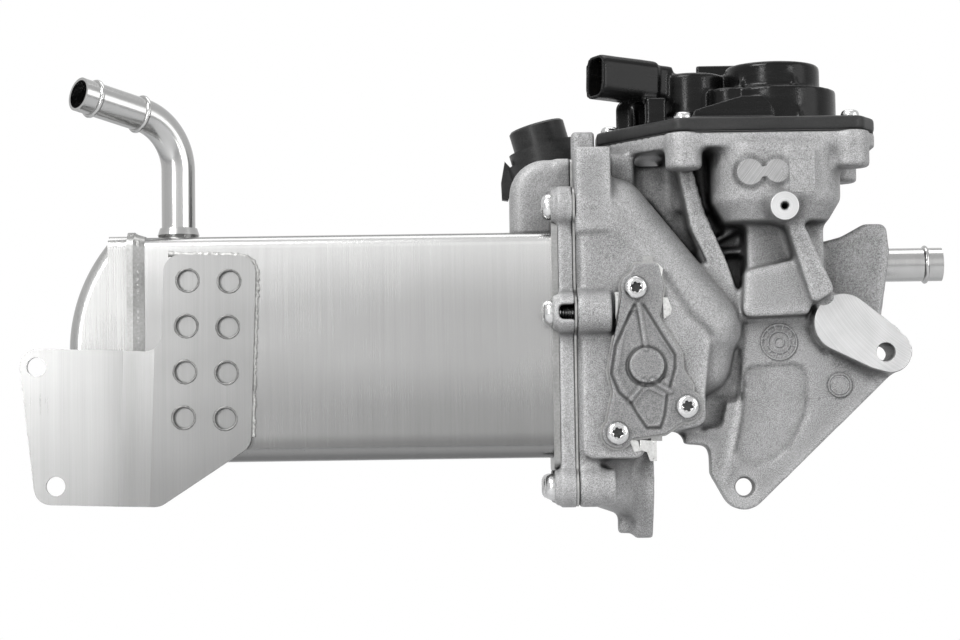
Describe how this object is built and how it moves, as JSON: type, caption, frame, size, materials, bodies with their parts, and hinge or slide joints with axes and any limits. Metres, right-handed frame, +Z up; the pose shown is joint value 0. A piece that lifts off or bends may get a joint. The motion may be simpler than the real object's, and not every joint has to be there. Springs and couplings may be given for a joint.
{
  "type": "egr cooler",
  "caption": "Exhaust gas cooler with a steel casing and tank, cast valve housing, bypass flap with vacuum can, sheet bracket and an electric valve actuator.",
  "frame": {"origin": "centre of the lower lug's fixing hole, on the lug's front face", "axes": "+X along the cooler towards the valve, +Y away from the front, +Z up"},
  "size_m": [0.4339, 0.1242, 0.229],
  "materials": {
    "stainless": "brushed",
    "sheet_steel": "satin",
    "screw_steel": "satin",
    "gasket_steel": "bright",
    "cast_light": "cast, lighter",
    "cast_housing": "cast, shot-blasted",
    "cast_cover": "cast, darker",
    "bronze": "satin",
    "black_sheet": "satin",
    "motor_can": "satin",
    "sintered_steel": "sintered, matte",
    "seal_rubber": "matte",
    "black_plastic": "satin moulded",
    "contact_metal": "bright"
  },
  "bodies": {
    "housing": {"cooler_casing": "stainless", "tube_header_left": "stainless", "tube_header_right": "stainless", "cooling_tubes": "stainless", "tube_baffles": "stainless", "return_tank": "stainless", "inlet_pipe": "stainless", "pipe_collar": "stainless", "side_bracket": "sheet_steel", "cooler_flange": "stainless", "adapter_frame": "cast_light", "joint_gasket": "gasket_steel", "joint_bolts": "screw_steel", "valve_housing": "cast_housing", "outlet_pipe": "stainless", "flap_cover": "cast_cover", "flap_gasket": "gasket_steel", "cover_screws": "screw_steel", "flap_bush": "bronze", "vacuum_cap": "black_sheet", "vacuum_base": "black_sheet", "vacuum_spring": "screw_steel", "vacuum_bracket": "sheet_steel", "vacuum_nuts": "screw_steel", "valve_seat": "stainless", "stem_guide": "bronze", "valve_spring": "screw_steel", "drive_motor": "motor_can", "gear_pin": "screw_steel", "actuator_seal": "seal_rubber", "actuator_cover": "black_plastic", "connector_pins": "contact_metal", "actuator_screws": "screw_steel"},
    "flap": {"bypass_flap": "stainless", "flap_shaft": "stainless", "flap_lever": "sheet_steel"},
    "vacuum_drive": {"vacuum_rod": "screw_steel"},
    "lift_gear": {"lift_gear": "sintered_steel"},
    "step_gear": {"step_gear": "sintered_steel"},
    "pinion": {"motor_pinion": "bronze"},
    "valve": {"valve_stem": "stainless"}
  },
  "joints": [
    {"name": "flap_hinge", "type": "hinge", "parent": "housing", "child": "flap", "pos_m": [-0.0462, 0, 0.0564], "axis": [0, 1, 0], "range_deg": [0, 45]},
    {"name": "vacuum_slide", "type": "slide", "parent": "housing", "child": "vacuum_drive", "axis": [-0.2672, 0, 0.9636], "range_m": [0, 0.00965], "deforming": ["vacuum_spring"]},
    {"name": "lift_turn", "type": "hinge", "parent": "housing", "child": "lift_gear", "pos_m": [0.021, 0.02, 0.179], "axis": [0, 0, 1], "range_deg": [0, 150]},
    {"name": "step_turn", "type": "hinge", "parent": "housing", "child": "step_gear", "pos_m": [-0.00253, 0.00894, 0.175], "axis": [0, 0, 1], "range_deg": [-501, 1]},
    {"name": "pinion_turn", "type": "hinge", "parent": "housing", "child": "pinion", "pos_m": [-0.019, 0.025, 0.17], "axis": [0, 0, 1], "range_deg": [-1, 1801]},
    {"name": "valve_slide", "type": "slide", "parent": "housing", "child": "valve", "axis": [0, 0, -1], "range_m": [0, 0.006], "deforming": ["valve_spring"]}
  ],
  "couplings": [
    {"joint": "vacuum_slide", "follows": "flap_hinge", "m_per_rad": 0.012258},
    {"joint": "step_turn", "follows": "lift_turn", "ratio": -3.3333},
    {"joint": "pinion_turn", "follows": "lift_turn", "ratio": 12},
    {"joint": "valve_slide", "follows": "lift_turn", "m_per_rad": 0.0022916}
  ]
}
